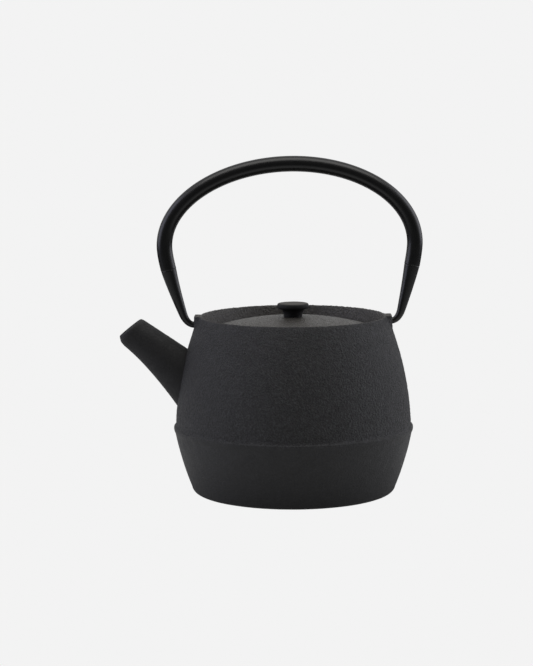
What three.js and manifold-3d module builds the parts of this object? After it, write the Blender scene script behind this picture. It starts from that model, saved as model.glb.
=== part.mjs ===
// Cast-iron teapot with a bail handle, a sunken domed lid and a hanging tea basket.
// Millimetres, +Z up. The origin is the centre of the underside, and the spout points along -X.
import * as THREE from "three";
import { mergeVertices } from "three/addons/utils/BufferGeometryUtils.js";
import Module from "manifold-3d";

const wasm = await Module();
wasm.setup();

const X = new THREE.Vector3(1, 0, 0);
const Y = new THREE.Vector3(0, 1, 0);
const Z = new THREE.Vector3(0, 0, 1);

// ---------- Driving dimensions ----------
const GAP = 0.3; // left between pieces that touch
const OVERCUT = 5; // how far a cut runs on past the material
const ROUND = 56; // facets around the pot

// Pot: a bowl below a ridge, and a belly that narrows to the rim.
const RIDGE_R = 77.9;
const RIDGE_Z = 42;
const RIDGE_LAND = 1.8; // height of the ridge's outermost face
const BASE_R = 62.8; // the flat that the pot stands on
const BASE_ARC_R = 4.2;
const BOWL_BOTTOM = [66.5, 3.6];
const BOWL_TOP = [77, 39.2];
const BOWL_ARC_R = 200;
const BELLY_BOTTOM = [76.4, 45];
const BELLY_ARC_R = 195;
const RIM_Z = 114.7;
const RIM_R = 61;
const RIM_EDGE = 0.6;
const WALL = 3.5;
const FLOOR = 4;
const FLOOR_CORNER = 7; // reach of the rounded corner between floor and wall
const FLOOR_CORNER_R = 9;

// Lid well, and the ledge in it that carries the lid and the basket.
const WELL_R = 57.3;
const WELL_FLARE_Z = 106; // above it the well widens to a thin rim
const WELL_TOP_R = 59.5;
const WELL_EDGE = 0.5;
const LEDGE_Z = 102.5;
const LEDGE_OPENING_R = 43;
const LEDGE_THICK = 3.8;
const LEDGE_EDGE = 1;
const LEDGE_ROOT = 2;
const BASKET_SEAT_R = 50.6;
const BASKET_SEAT_DEPTH = 1.3;

// Spout, drawn in the XZ plane by its upper and its lower edge.
const SPOUT_TOP_TIP = new THREE.Vector2(-98.1, 113.2);
const SPOUT_TOP_ROOT = new THREE.Vector2(-62, 89);
const SPOUT_LIP_TIP = new THREE.Vector2(-112.9, 101.5);
const SPOUT_LIP_CORNER = new THREE.Vector2(-112.7, 98.6);
const SPOUT_KEEL_TIP = new THREE.Vector2(-109.2, 95.1);
const SPOUT_KEEL_BEND = new THREE.Vector2(-91, 79.5);
const SPOUT_KEEL_ROOT = new THREE.Vector2(-70, 47.5);
const SPOUT_TIP_HALF_WIDTH = 9;
const SPOUT_ROOT_HALF_WIDTH = 12.8;
const SPOUT_WALL = 2.9;

// Lugs on the rim at both sides, and the holes in them for the handle's hooks.
const LUG_FACE_X = 64.4;
const LUG_TOP_Z = 115.1;
const LUG_WIDTH = 13;
const LUG_CORNER = 3;
const LUG_BEVEL = 1.2;
const HOOK_HOLE_R = 2.4;
const HOOK_HOLE_LENGTH = 30;

// Handle. It hangs in the lugs a little askew, and its shoulders lean a little to the spout's side.
const PIVOT_Z = 109.85;
const HANDLE_SHIFT = -0.23;
const HANDLE_SKEW = THREE.MathUtils.degToRad(0.858);
const HANDLE_LEAN = 0.95;
const BAIL_HALF_WIDTH = 80.75;
const BAIL_APEX = 102.75;
const BAIL_SHOULDER = 51;
const BAIL_WAIST = 40.2;
const HOOK_TOP = new THREE.Vector2(70.95, 8);
const HOOK_CORNER = new THREE.Vector2(68.55, 0);
const HOOK_BOTTOM = new THREE.Vector2(63.5, 0);
const HOOK_END = 58;
const GRIP_R = 5.05;
const GRIP_WALL = 1.1;
const SEAM_HEIGHT = 36;
const HOOK_WIRE_R = 2.05;
const LEG_TOP_R = 5;
const TAPER_START = 8; // length of even wire at a hook's end
const SPIGOT_LENGTH = 12;

// Lid and knob.
const LID_R = 56.6;
const LID_DOME_R = 193;
const LID_APEX_Z = 114;
const LID_THICK = 3;
const LID_EDGE = 1;
const LID_EDGE_LAND = 4;
const LID_SKIRT_R = 37.6;
const LID_SKIRT_Z = 98;
const KNOB_HOLE_R = 2.3;
const KNOB_TOP_Z = 122.7;
const KNOB_HOLE_TOP_Z = 119.4;
const KNOB_OUTLINE = [
  [6.1, 114.3],
  [6.5, 117],
  [7.3, 118.6],
  [9.4, 119.2],
  [10.4, 120.5],
  [9.9, 121.8],
  [8.5, KNOB_TOP_Z],
];
const SCREW_R = 2;
const SCREW_HEAD_R = 3.8;
const SCREW_HEAD_THICK = 2;
const SCREW_HEAD_EDGE = 1;
const WASHER_R = 5.5;
const WASHER_THICK = 1;

// Tea basket of thin stainless sheet.
const BASKET_R = 39.1;
const BASKET_SHEET = 0.7;
const BASKET_BASE_Z = 41;
const BASKET_TOP_Z = 101;
const FLANGE_R = 50.2;
const FLANGE_THICK = 0.8;
const COLLAR_DEPTH = 6;
const BAND_HEIGHT = 6;
const BAND_LIP = 4;

// ---------- Solids ----------
function solidOf(geometry) {
  const bare = geometry.clone();
  bare.deleteAttribute("normal");
  bare.deleteAttribute("uv");
  const merged = mergeVertices(bare, 1e-4);
  return new wasm.Manifold(
    new wasm.Mesh({
      numProp: 3,
      vertProperties: new Float32Array(merged.attributes.position.array),
      triVerts: new Uint32Array(merged.index.array),
    }),
  );
}

function geometryOf(solid) {
  const mesh = solid.getMesh();
  const geometry = new THREE.BufferGeometry();
  const places = new THREE.BufferAttribute(mesh.vertProperties, 3);
  geometry.setAttribute("position", places);
  geometry.setIndex(new THREE.BufferAttribute(mesh.triVerts, 1));
  geometry.computeVertexNormals();
  return geometry;
}

// A solid of revolution about Z. The outline of [radius, height] pairs runs anticlockwise.
function turned(outline, facets = ROUND) {
  const points = outline.map(([r, z]) => new THREE.Vector2(r, z));
  return new THREE.LatheGeometry(points, facets).rotateX(Math.PI / 2);
}

function ring(inner, outer, low, high, facets = ROUND) {
  const outline = [
    [inner, low],
    [outer, low],
    [outer, high],
    [inner, high],
    [inner, low],
  ];
  return turned(outline, facets);
}

function disc(radius, low, high, facets = ROUND) {
  const outline = [
    [0, low],
    [radius, low],
    [radius, high],
    [0, high],
  ];
  return turned(outline, facets);
}

// Points on the arc of this radius that bulges to the right of the way from a to b.
function arc(a, b, radius, steps) {
  const from = new THREE.Vector2(...a);
  const chord = new THREE.Vector2(...b).sub(from);
  const half = chord.length() / 2;
  const inward = new THREE.Vector2(-chord.y, chord.x).normalize();
  const reach = Math.sqrt(radius ** 2 - half ** 2);
  const centre = from.clone().addScaledVector(chord, 0.5).addScaledVector(inward, reach);
  const start = from.clone().sub(centre).angle();
  const turn = 2 * Math.asin(half / radius);
  const points = [];
  for (let i = 0; i <= steps; i++) {
    const angle = start + (turn * i) / steps;
    points.push([centre.x + radius * Math.cos(angle), centre.y + radius * Math.sin(angle)]);
  }
  return points;
}

// A capped tube: every ring of a cylinder goes where place(ring's share of the length, x, y) says.
function sleeve(place, sides, steps) {
  const geometry = new THREE.CylinderGeometry(1, 1, 1, sides, steps);
  const corners = geometry.attributes.position;
  const point = new THREE.Vector3();
  for (let i = 0; i < corners.count; i++) {
    point.fromBufferAttribute(corners, i);
    place(point.y + 0.5, point.x, point.z, point);
    corners.setXYZ(i, point.x, point.y, point.z);
  }
  return geometry;
}

// ---------- Pot ----------
// The outside, up to the rim. It can be drawn larger all round.
function potOutline(extra) {
  const fillet = arc([BASE_R, 0], BOWL_BOTTOM, BASE_ARC_R, 2);
  const bowl = arc(BOWL_BOTTOM, BOWL_TOP, BOWL_ARC_R, 5);
  const ridge = [
    [RIDGE_R, RIDGE_Z - RIDGE_LAND / 2],
    [RIDGE_R, RIDGE_Z + RIDGE_LAND / 2],
  ];
  const belly = arc(BELLY_BOTTOM, [RIM_R, RIM_Z - RIM_EDGE], BELLY_ARC_R, 6);
  const rim = [[RIM_R - RIM_EDGE, RIM_Z]];
  return [...fillet, ...bowl.slice(1), ...ridge, ...belly, ...rim].map(([r, z]) => [r + extra, z]);
}

function potOutside(extra = 0) {
  return solidOf(turned([[0, 0], ...potOutline(extra), [0, RIM_Z]]));
}

// The hollow follows the outside at the wall's thickness up to the ledge, then the lid well.
function potInside() {
  const bowl = arc(BOWL_BOTTOM, BELLY_BOTTOM, BOWL_ARC_R, 4);
  const belly = arc(BELLY_BOTTOM, [RIM_R, RIM_Z], BELLY_ARC_R, 6);
  const ledgeUnder = LEDGE_Z - LEDGE_THICK;
  const wall = [...bowl, ...belly.slice(1)]
    .map(([r, z]) => [r - WALL, z])
    .filter(([, z]) => z > FLOOR + FLOOR_CORNER && z < ledgeUnder - 2 * LEDGE_ROOT);
  const [foot] = wall;
  const outline = [
    [0, FLOOR],
    ...arc([foot[0] - FLOOR_CORNER, FLOOR], foot, FLOOR_CORNER_R, 2),
    ...wall.slice(1),
    [WELL_R + LEDGE_ROOT, ledgeUnder - LEDGE_ROOT],
    [LEDGE_OPENING_R + LEDGE_EDGE, ledgeUnder],
    [LEDGE_OPENING_R, ledgeUnder + LEDGE_EDGE],
    [LEDGE_OPENING_R, LEDGE_Z - BASKET_SEAT_DEPTH],
    [BASKET_SEAT_R, LEDGE_Z - BASKET_SEAT_DEPTH],
    [BASKET_SEAT_R, LEDGE_Z],
    [WELL_R, LEDGE_Z],
    [WELL_R, WELL_FLARE_Z],
    [WELL_TOP_R, RIM_Z - WELL_EDGE],
    [WELL_TOP_R + WELL_EDGE, RIM_Z],
    [WELL_TOP_R + WELL_EDGE, RIM_Z + OVERCUT],
    [0, RIM_Z + OVERCUT],
  ];
  return solidOf(turned(outline));
}

function spoutEdges() {
  const keel = new THREE.CurvePath();
  keel.add(new THREE.QuadraticBezierCurve(SPOUT_LIP_TIP, SPOUT_LIP_CORNER, SPOUT_KEEL_TIP));
  keel.add(new THREE.QuadraticBezierCurve(SPOUT_KEEL_TIP, SPOUT_KEEL_BEND, SPOUT_KEEL_ROOT));
  return { top: new THREE.LineCurve(SPOUT_TOP_TIP, SPOUT_TOP_ROOT), keel };
}

// The spout's outside from its mouth to inside the pot, or with an inset its bore.
// The overrun takes it on past the mouth.
function spoutSleeve(inset = 0, overrun = 0) {
  const { top, keel } = spoutEdges();
  const mouthNormal = SPOUT_TOP_TIP.clone().sub(SPOUT_LIP_TIP).normalize();
  mouthNormal.rotateAround(new THREE.Vector2(), Math.PI / 2);
  const place = (share, x, y, point) => {
    const along = 1 - share;
    const upper = top.getPoint(along);
    const lower = keel.getPoint(along);
    const middle = upper.clone().add(lower).multiplyScalar(0.5);
    const half = upper.clone().sub(lower).multiplyScalar(0.5);
    half.setLength(half.length() - inset);
    if (share === 1) middle.addScaledVector(mouthNormal, overrun);
    const width = THREE.MathUtils.lerp(SPOUT_TIP_HALF_WIDTH, SPOUT_ROOT_HALF_WIDTH, along) - inset;
    point.set(middle.x + half.x * x, -width * y, middle.y + half.y * x);
  };
  return solidOf(sleeve(place, 22, 12));
}

function spoutBore() {
  return spoutSleeve(SPOUT_WALL, OVERCUT);
}

// The spout ends on the pot's outside.
function spout() {
  return spoutSleeve().subtract(potOutside(GAP)).subtract(spoutBore());
}

function hookAxisZ(x) {
  return PIVOT_Z + (x - HANDLE_SHIFT) * Math.tan(HANDLE_SKEW);
}

function lug(side) {
  const half = LUG_WIDTH / 2 - LUG_BEVEL;
  const top = LUG_TOP_Z - LUG_BEVEL;
  const tab = new THREE.Shape();
  tab.moveTo(-half, LEDGE_Z);
  tab.lineTo(half, LEDGE_Z);
  tab.lineTo(half, top - LUG_CORNER);
  tab.quadraticCurveTo(half, top, half - LUG_CORNER, top);
  tab.lineTo(LUG_CORNER - half, top);
  tab.quadraticCurveTo(-half, top, -half, top - LUG_CORNER);
  const depth = LUG_FACE_X - WELL_R;
  const options = {
    depth,
    bevelThickness: LUG_BEVEL,
    bevelSize: LUG_BEVEL,
    bevelSegments: 2,
    curveSegments: 4,
  };
  const geometry = new THREE.ExtrudeGeometry(tab, options);
  // The tab is drawn in XY and extruded along Z, and here it stands in YZ and faces along X.
  geometry.translate(0, 0, LUG_FACE_X - LUG_BEVEL - depth);
  geometry.applyMatrix4(new THREE.Matrix4().makeBasis(Y, Z, X));
  if (side < 0) geometry.rotateZ(Math.PI);
  return solidOf(geometry);
}

function hookHole(side) {
  const geometry = new THREE.CylinderGeometry(HOOK_HOLE_R, HOOK_HOLE_R, HOOK_HOLE_LENGTH, 16);
  geometry.rotateZ(Math.PI / 2 + HANDLE_SKEW);
  geometry.translate(side * LUG_FACE_X, 0, hookAxisZ(side * LUG_FACE_X));
  return solidOf(geometry);
}

function potBody() {
  return potOutside()
    .add(lug(-1))
    .add(lug(1))
    .subtract(potInside())
    .subtract(spoutBore())
    .subtract(hookHole(-1))
    .subtract(hookHole(1));
}

// ---------- Handle ----------
// The bail's centre line from one hook's end to the other's, flat, with the pivot line as its base.
function bailLine() {
  const at = (side, point) => new THREE.Vector2(side * point.x, point.y);
  const shoulder = new THREE.Vector2(BAIL_HALF_WIDTH, BAIL_SHOULDER);
  const waist = new THREE.Vector2(BAIL_HALF_WIDTH, BAIL_WAIST);
  const end = new THREE.Vector2(HOOK_END, 0);
  const rise = BAIL_APEX - BAIL_SHOULDER;
  const bow = new THREE.EllipseCurve(0, BAIL_SHOULDER, BAIL_HALF_WIDTH, rise, Math.PI, 0, true);
  const line = new THREE.CurvePath();
  line.add(new THREE.LineCurve(at(-1, end), at(-1, HOOK_BOTTOM)));
  line.add(new THREE.QuadraticBezierCurve(at(-1, HOOK_BOTTOM), at(-1, HOOK_CORNER), at(-1, HOOK_TOP)));
  line.add(new THREE.QuadraticBezierCurve(at(-1, HOOK_TOP), at(-1, waist), at(-1, shoulder)));
  line.add(bow);
  line.add(new THREE.QuadraticBezierCurve(shoulder, waist, HOOK_TOP));
  line.add(new THREE.QuadraticBezierCurve(HOOK_TOP, HOOK_CORNER, HOOK_BOTTOM));
  line.add(new THREE.LineCurve(HOOK_BOTTOM, end));
  return line;
}

const BAIL = bailLine();
const BAIL_LENGTH = BAIL.getLength();

// The length along the bail from a hook's end to the seam between leg and grip.
function seamDistance() {
  let distance = 0;
  while (BAIL.getPoint(distance / BAIL_LENGTH).y < SEAM_HEIGHT) distance += 0.25;
  return distance;
}

const SEAM = seamDistance();

// A stretch of the bail in space, between two distances from the left hook's end.
class BailStretch extends THREE.Curve {
  constructor(from, to) {
    super();
    this.from = from;
    this.to = to;
  }

  getPoint(share, point = new THREE.Vector3()) {
    const distance = THREE.MathUtils.lerp(this.from, this.to, share);
    const flat = BAIL.getPoint(distance / BAIL_LENGTH);
    const lean = HANDLE_LEAN * Math.sin((Math.PI * flat.y) / BAIL_APEX);
    return point.set(flat.x - lean, 0, flat.y);
  }
}

function handleGrip() {
  const section = new THREE.Shape();
  section.absarc(0, 0, GRIP_R, 0, 2 * Math.PI);
  const bore = new THREE.Path();
  bore.absarc(0, 0, GRIP_R - GRIP_WALL, 0, 2 * Math.PI, true);
  section.holes.push(bore);
  const extrudePath = new BailStretch(SEAM, BAIL_LENGTH - SEAM);
  return new THREE.ExtrudeGeometry(section, { steps: 38, curveSegments: 7, extrudePath });
}

// The leg thickens evenly from the hook's wire to the seam.
function legRadius(distance) {
  const share = Math.max(0, (distance - TAPER_START) / (SEAM - TAPER_START));
  return THREE.MathUtils.lerp(HOOK_WIRE_R, LEG_TOP_R, share);
}

// Each ring of a leg as its distance from the hook's end and its radius.
// The last ring of the body and the first of the spigot make the shoulder's face between them.
function legRings() {
  const shoulder = SEAM - GAP;
  const spigot = GRIP_R - GRIP_WALL - GAP;
  const steps = 17;
  const rings = [];
  for (let i = 0; i <= steps; i++) {
    const distance = (shoulder * i) / steps;
    rings.push([distance, legRadius(distance)]);
  }
  rings.push([shoulder, spigot], [shoulder + SPIGOT_LENGTH / 2, spigot]);
  rings.push([shoulder + SPIGOT_LENGTH, spigot]);
  return rings;
}

function handleLeg(side) {
  const rings = legRings();
  const [length] = rings.at(-1);
  const left = new BailStretch(0, length);
  const right = new BailStretch(BAIL_LENGTH, BAIL_LENGTH - length);
  const curve = side < 0 ? left : right;
  const place = (share, x, y, point) => {
    const [distance, radius] = rings[Math.round(share * (rings.length - 1))];
    const tangent = curve.getTangent(distance / length);
    const across = new THREE.Vector3().crossVectors(tangent, Y).multiplyScalar(side);
    curve.getPoint(distance / length, point);
    point.addScaledVector(across, radius * x).addScaledVector(Y, radius * y * side);
  };
  return sleeve(place, 14, rings.length - 1);
}

// ---------- Lid ----------
function domeZ(radius, thickness) {
  const sphere = LID_DOME_R - thickness;
  return LID_APEX_Z - LID_DOME_R + Math.sqrt(sphere ** 2 - radius ** 2);
}

function lid() {
  const bottom = LEDGE_Z + GAP;
  const land = LID_R - LID_EDGE_LAND;
  const skirtInside = LID_SKIRT_R - LID_THICK;
  const dome = [];
  const steps = 6;
  for (let i = 0; i < steps; i++) {
    const r = THREE.MathUtils.lerp(LID_R - LID_EDGE, KNOB_HOLE_R, i / (steps - 1));
    dome.push([r, domeZ(r, 0)]);
  }
  const outline = [
    [KNOB_HOLE_R, domeZ(KNOB_HOLE_R, LID_THICK)],
    [skirtInside / 2, domeZ(skirtInside / 2, LID_THICK)],
    [skirtInside, domeZ(skirtInside, LID_THICK)],
    [skirtInside, LID_SKIRT_Z],
    [LID_SKIRT_R, LID_SKIRT_Z],
    [LID_SKIRT_R, domeZ(LID_SKIRT_R, LID_THICK)],
    [land, domeZ(land, LID_THICK)],
    [land, bottom],
    [LID_R, bottom],
    [LID_R, domeZ(LID_R, 0) - LID_EDGE],
    ...dome,
    [KNOB_HOLE_R, domeZ(KNOB_HOLE_R, LID_THICK)],
  ];
  return turned(outline);
}

function lidKnob() {
  const [foot] = KNOB_OUTLINE;
  const outline = [
    [KNOB_HOLE_R, foot[1]],
    ...KNOB_OUTLINE,
    [0, KNOB_TOP_Z],
    [0, KNOB_HOLE_TOP_Z],
    [KNOB_HOLE_R, KNOB_HOLE_TOP_Z],
    [KNOB_HOLE_R, foot[1]],
  ];
  return turned(outline, 28);
}

function washerTop() {
  return domeZ(WASHER_R, LID_THICK) - GAP;
}

function screwWasher() {
  const top = washerTop();
  return ring(SCREW_R + GAP, WASHER_R, top - WASHER_THICK, top, 24);
}

function knobScrew() {
  const headTop = washerTop() - WASHER_THICK - GAP;
  const headBottom = headTop - SCREW_HEAD_THICK;
  const outline = [
    [0, headBottom],
    [SCREW_HEAD_R - SCREW_HEAD_EDGE, headBottom],
    [SCREW_HEAD_R, headBottom + SCREW_HEAD_EDGE],
    [SCREW_HEAD_R, headTop],
    [SCREW_R, headTop],
    [SCREW_R, KNOB_HOLE_TOP_Z - GAP],
    [0, KNOB_HOLE_TOP_Z - GAP],
  ];
  return turned(outline, 20);
}

// ---------- Tea basket ----------
function infuserRim() {
  const collarInside = BASKET_R + GAP;
  const collarOutside = collarInside + FLANGE_THICK;
  const low = LEDGE_Z - BASKET_SEAT_DEPTH + GAP;
  const high = low + FLANGE_THICK;
  const outline = [
    [collarInside, high - COLLAR_DEPTH],
    [collarOutside, high - COLLAR_DEPTH],
    [collarOutside, low],
    [FLANGE_R, low],
    [FLANGE_R, high],
    [collarInside, high],
    [collarInside, high - COLLAR_DEPTH],
  ];
  return turned(outline);
}

function infuserWall() {
  const low = BASKET_BASE_Z + BASKET_SHEET + GAP;
  return ring(BASKET_R - BASKET_SHEET, BASKET_R, low, BASKET_TOP_Z);
}

function infuserBaseBand() {
  const inside = BASKET_R + GAP;
  const outside = inside + BASKET_SHEET;
  const lip = BASKET_R - BAND_LIP;
  const outline = [
    [lip, BASKET_BASE_Z],
    [outside, BASKET_BASE_Z],
    [outside, BASKET_BASE_Z + BAND_HEIGHT],
    [inside, BASKET_BASE_Z + BAND_HEIGHT],
    [inside, BASKET_BASE_Z + BASKET_SHEET],
    [lip, BASKET_BASE_Z + BASKET_SHEET],
    [lip, BASKET_BASE_Z],
  ];
  return turned(outline);
}

function infuserBase() {
  const low = BASKET_BASE_Z + BASKET_SHEET + GAP;
  return disc(BASKET_R - BASKET_SHEET - GAP, low, low + BASKET_SHEET);
}

// ---------- Assembly ----------
const CAST_IRON = { color: 0x343436, roughness: 0.75, metalness: 0.2 };
const LID_IRON = { color: 0x4a4845, roughness: 0.8, metalness: 0.2 };
const PAINTED_STEEL = { color: 0x161617, roughness: 0.45, metalness: 0.2 };
const STAINLESS = { color: 0xb8babc, roughness: 0.3, metalness: 0.9 };

function piece(name, geometry, look) {
  const mesh = new THREE.Mesh(geometry, new THREE.MeshStandardMaterial(look));
  mesh.name = name;
  return mesh;
}

function handle() {
  const bail = new THREE.Group();
  bail.position.set(HANDLE_SHIFT, 0, PIVOT_Z);
  bail.rotation.y = -HANDLE_SKEW;
  bail.add(piece("handle_grip", handleGrip(), PAINTED_STEEL));
  bail.add(piece("handle_leg_left", handleLeg(-1), PAINTED_STEEL));
  bail.add(piece("handle_leg_right", handleLeg(1), PAINTED_STEEL));
  return bail;
}

const teapot = new THREE.Group();
teapot.add(piece("pot_body", geometryOf(potBody()), CAST_IRON));
teapot.add(piece("spout", geometryOf(spout()), CAST_IRON));
teapot.add(handle());
teapot.add(piece("lid", lid(), LID_IRON));
teapot.add(piece("lid_knob", lidKnob(), CAST_IRON));
teapot.add(piece("knob_screw", knobScrew(), STAINLESS));
teapot.add(piece("screw_washer", screwWasher(), STAINLESS));
teapot.add(piece("infuser_rim", infuserRim(), STAINLESS));
teapot.add(piece("infuser_wall", infuserWall(), STAINLESS));
teapot.add(piece("infuser_base_band", infuserBaseBand(), STAINLESS));
teapot.add(piece("infuser_base", infuserBase(), STAINLESS));

export default teapot;
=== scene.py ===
"""Looks for the cast-iron teapot with a tea basket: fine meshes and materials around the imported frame."""

import math

import bmesh
import bpy
import numpy as np
from mathutils import Matrix, Vector, noise


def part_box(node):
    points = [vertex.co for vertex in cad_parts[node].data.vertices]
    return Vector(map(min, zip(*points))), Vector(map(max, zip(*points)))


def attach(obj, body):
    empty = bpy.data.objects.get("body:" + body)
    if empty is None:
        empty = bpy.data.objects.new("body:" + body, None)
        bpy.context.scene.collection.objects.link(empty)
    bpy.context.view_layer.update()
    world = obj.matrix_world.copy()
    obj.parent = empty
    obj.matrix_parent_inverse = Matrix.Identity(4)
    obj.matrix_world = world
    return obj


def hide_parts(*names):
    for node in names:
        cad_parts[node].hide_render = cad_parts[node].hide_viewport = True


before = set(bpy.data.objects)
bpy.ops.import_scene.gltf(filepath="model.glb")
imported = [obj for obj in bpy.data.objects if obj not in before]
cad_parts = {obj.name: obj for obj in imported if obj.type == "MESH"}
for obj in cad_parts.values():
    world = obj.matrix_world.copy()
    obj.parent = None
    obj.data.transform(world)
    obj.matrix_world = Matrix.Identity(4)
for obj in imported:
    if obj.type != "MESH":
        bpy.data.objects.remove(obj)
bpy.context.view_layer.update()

# ---------- Sizes in millimetres, as in the CAD part ----------
MM = 0.001
# Shorter lengths than this count as nothing.
NEAR_ZERO = 1e-6
# The gap between pieces that rest on each other or fit into each other.
GAP = 0.3

# Pot: a bowl below a ridge, and a belly that narrows to the rim.
RIDGE_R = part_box("pot_body")[1].y / MM
RIDGE_Z = 42
BASE_R = 62.8
FILLET_R = 4.2
FILLET_TOP = (66.5, 3.6)
BOWL_TOP = (77, 39.2)
BOWL_ARC_R = 200
BELLY_BOTTOM = (76.4, 45)
BELLY_ARC_R = 195
RIM_Z = 114.7
RIM_R = 61
# How far the rim's outer edge is chamfered.
RIM_EDGE = 0.8
WALL = 3.5
FLOOR = 4
WELL_R = 57.3
WELL_FLARE_Z = 106
WELL_TOP_R = 59.5
LEDGE_Z = 102.5
LEDGE_OPENING_R = 43
LEDGE_THICK = 3.8
SEAT_R = 50.6
SEAT_DEPTH = 1.3

# Spout, drawn in the XZ plane by its upper and its lower edge, from the mouth to the root.
SPOUT_TOP = ((-98.1, 113.2), (-62, 89))
SPOUT_LIP = ((-112.9, 101.5), (-112.7, 98.6), (-109.2, 95.1))
SPOUT_KEEL = ((-109.2, 95.1), (-91, 79.5), (-70, 47.5))
SPOUT_TIP_HALF_WIDTH = 9
SPOUT_ROOT_HALF_WIDTH = 12.8
SPOUT_WALL = 2.9
MOUTH_CHAMFER = 0.9
# The spout's rings crowd towards its mouth by this power, and those of its edge start this far from it.
RING_CROWDING = 1.3
MOUTH_REACH = 2
# How much narrower, and how far beyond the mouth's plane, each ring of its edge is.
MOUTH_EDGE = ((0, -MOUTH_CHAMFER), (0.35 * MOUTH_CHAMFER, -0.35 * MOUTH_CHAMFER), (MOUTH_CHAMFER, 0))
BORE_FLARE = ((0, -1.2), (-0.35, -0.3), (-MOUTH_CHAMFER - 0.5, 0.6), (-MOUTH_CHAMFER - 0.5, 4))

# Lugs, grown out of the rim, and the holes for the handle's hooks.
LUG_FACE_X = 64.4
LUG_TOP_Z = 115.1
LUG_HALF_WIDTH = 6.5
LUG_BLEND = 3
HOOK_HOLE_R = 2.4
HOOK_HOLE_FLARE = 0.45

# Handle.
PIVOT_Z = 109.85
# It hangs a little off the middle and askew, and its shoulders lean towards the spout.
HANDLE_SHIFT = -0.23
HANDLE_SKEW = math.radians(0.858)
HANDLE_LEAN = 0.95
BAIL_HALF_WIDTH = 80.75
BAIL_APEX = 102.75
BAIL_SHOULDER = 51
BAIL_WAIST = 40.2
HOOK_TOP = (70.95, 8)
HOOK_CORNER = (68.55, 0)
HOOK_BOTTOM = (63.5, 0)
HOOK_END = 58
GRIP_R = 5.05
GRIP_WALL = 1.1
SEAM_HEIGHT = 36
SEAM_LINE = 0.1
HOOK_WIRE_R = 2.05
# The leg starts to widen this far from the hook's end.
TAPER_START = 8
SPIGOT_LENGTH = 12

# Lid and knob.
LID_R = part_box("lid")[1].x / MM
LID_DOME_R = 193
LID_APEX_Z = 114
LID_THICK = 3
LID_SKIRT_R = 37.6
LID_SKIRT_Z = 98
KNOB_TOP_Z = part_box("lid_knob")[1].z / MM
KNOB_FOOT_Z = LID_APEX_Z - 0.02
# The knob's side from its foot to its top: the start, the pull, the end and the steps of each curve.
KNOB_CURVES = (
    ((6.1, KNOB_FOOT_Z), (6.1, KNOB_FOOT_Z + 2.6), (7.1, 118.1), 10),
    ((7.1, 118.1), (7.5, 118.7), (9.3, 119.1), 8),
    ((9.3, 119.1), (10.45, 119.4), (10.38, 120.6), 8),
    ((10.38, 120.6), (10.35, 122.4), (9.3, KNOB_TOP_Z - 0.1), 10),
)
KNOB_BORE_TOP_Z = 119.4
SCREW_R = 2
SCREW_TIP_Z = 119.1
SCREW_HEAD_R = 3.8
SCREW_HEAD_HEIGHT = 2
THREAD_PITCH = 0.7
THREAD_DEPTH = 0.35
WASHER_R = 5.5
WASHER_THICK = 1

# Tea basket.
BASKET_R = 39.1
BASKET_SHEET = 0.7
BASKET_BASE_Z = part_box("infuser_base_band")[0].z / MM
BASKET_TOP_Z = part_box("infuser_wall")[1].z / MM
FLANGE_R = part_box("infuser_rim")[1].x / MM
FLANGE_THICK = 0.8
COLLAR_HEIGHT = 6
BAND_HEIGHT = 6
HEM = 6.5
HOLE_R = 0.6
HOLE_PITCH = 2.2


# ---------- Flat curves ----------
def arc(a, b, radius, steps):
    """Points on the arc of this radius that bulges to the right of the way from a to b."""
    a, b = np.array(a, float), np.array(b, float)
    chord = b - a
    half = np.hypot(*chord) / 2
    inward = np.array([-chord[1], chord[0]]) / (2 * half)
    centre = (a + b) / 2 + inward * math.sqrt(radius**2 - half**2)
    start = math.atan2(*(a - centre)[::-1])
    angles = start + np.linspace(0, 2 * math.asin(half / radius), steps + 1)
    return centre + radius * np.column_stack([np.cos(angles), np.sin(angles)])


def bezier(a, b, c, steps):
    """Points on the quadratic Bezier curve from a to c, drawn towards b."""
    t = np.linspace(0, 1, steps + 1)[:, None]
    a, b, c = (np.array(p, float) for p in (a, b, c))
    return (1 - t) ** 2 * a + 2 * t * (1 - t) * b + t**2 * c


def lengths(points):
    """The distance along the points at each of them."""
    steps = np.linalg.norm(np.diff(points, axis=0), axis=1)
    return np.concatenate([[0], np.cumsum(steps)])


def along(points, distances):
    """The places at these distances along the points."""
    at = lengths(points)
    return np.column_stack([np.interp(distances, at, column) for column in points.T])


def refined(points, step):
    """The same outline with points no more than a step apart and its corners kept."""
    points = np.array(points, float)
    out = [points[:1]]
    for a, b in zip(points[:-1], points[1:]):
        parts = max(1, math.ceil(np.hypot(*(b - a)) / step))
        out.append(a + (b - a) * np.linspace(0, 1, parts + 1)[1:, None])
    return np.vstack(out)


def rounded(points, radius, steps=4):
    """The outline with each inner corner cut by a short Bezier curve of this reach.
    A curve takes less than half of each side, so that two of them never meet."""
    points = np.array(points, float)
    out = [points[:1]]
    for before, corner, after in zip(points[:-2], points[1:-1], points[2:]):
        to_before, to_after = before - corner, after - corner
        reach = min(radius, np.hypot(*to_before) / 2.1, np.hypot(*to_after) / 2.1)
        start = corner + to_before / np.hypot(*to_before) * reach
        end = corner + to_after / np.hypot(*to_after) * reach
        out.append(bezier(start, corner, end, steps))
    out.append(points[-1:])
    return np.vstack(out)


def smooth_step(low, high, x):
    """0 up to low and 1 from high on, with a soft step between."""
    t = np.clip((x - low) / (high - low), 0, 1)
    return t * t * (3 - 2 * t)


# ---------- Surface relief ----------
def each(points, function):
    """What function says for each point, as an array."""
    return np.array([function(Vector(p)) for p in points])


def pebbles(points, size):
    """Leather-like relief: pebbles about a size apart, from 0 in the creases to 1 on top."""
    warp, steepness = 0.7, 1.6

    def height(p):
        p = p / size
        p += noise.noise_vector(p * warp) * warp
        near = noise.voronoi(p)[0]
        return min(1, steepness * (near[1] - near[0]))

    return each(points, height)


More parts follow.
